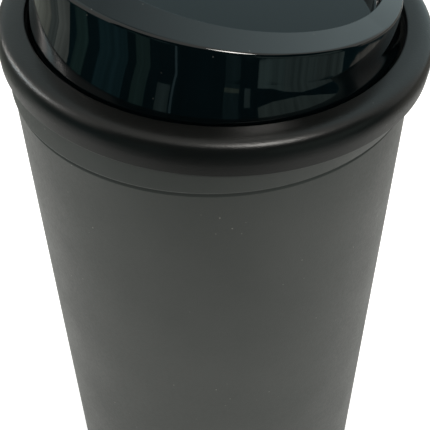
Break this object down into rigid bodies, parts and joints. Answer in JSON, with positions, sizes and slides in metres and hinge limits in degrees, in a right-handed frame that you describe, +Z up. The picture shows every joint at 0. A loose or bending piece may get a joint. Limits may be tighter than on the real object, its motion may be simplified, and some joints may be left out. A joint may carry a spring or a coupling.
{
  "type": "rock tumbler barrel",
  "caption": "Tall round lined barrel with a bayonet clamp ring and a sealing lid whose gloss cap has a slanted, recessed top.",
  "frame": {"origin": "centre of the underside, on the flat end of the base button, level with the foot ring", "axes": "+Z up along the tub's axis; +X towards the low side of the mouth and of the lid's slanted top; -Y is the front"},
  "size_m": [0.1299, 0.13, 0.2457],
  "materials": {
    "grey_tub": "satin",
    "matt_ring": "matte",
    "gloss_cap": "gloss",
    "stiff_plate": "satin",
    "rubber": "matte",
    "nylon": "satin",
    "screw_steel": "brushed"
  },
  "bodies": {
    "barrel": {"barrel_shell": "grey_tub", "barrel_liner": "rubber", "foot_ring": "rubber", "base_button": "nylon"},
    "lid": {"lid_cap": "gloss_cap", "lid_plate": "stiff_plate", "lid_plug": "rubber", "lid_screw_1": "screw_steel", "lid_screw_2": "screw_steel", "lid_screw_3": "screw_steel", "lid_screw_4": "screw_steel"},
    "washer": {"slip_washer": "nylon"},
    "ring": {"clamp_ring": "matt_ring"}
  },
  "joints": [
    {"name": "lid_lift", "type": "slide", "parent": "barrel", "child": "lid", "axis": [0.04, 0, 0.9992], "range_m": [0, 0.12]},
    {"name": "ring_lift", "type": "slide", "parent": "lid", "child": "washer", "axis": [0.04, 0, 0.9992], "range_m": [0, 0.06]},
    {"name": "ring_turn", "type": "hinge", "parent": "washer", "child": "ring", "pos_m": [0.0013, 0, 0.212], "axis": [0.04, 0, 0.9992], "range_deg": [-45, 0]}
  ]
}
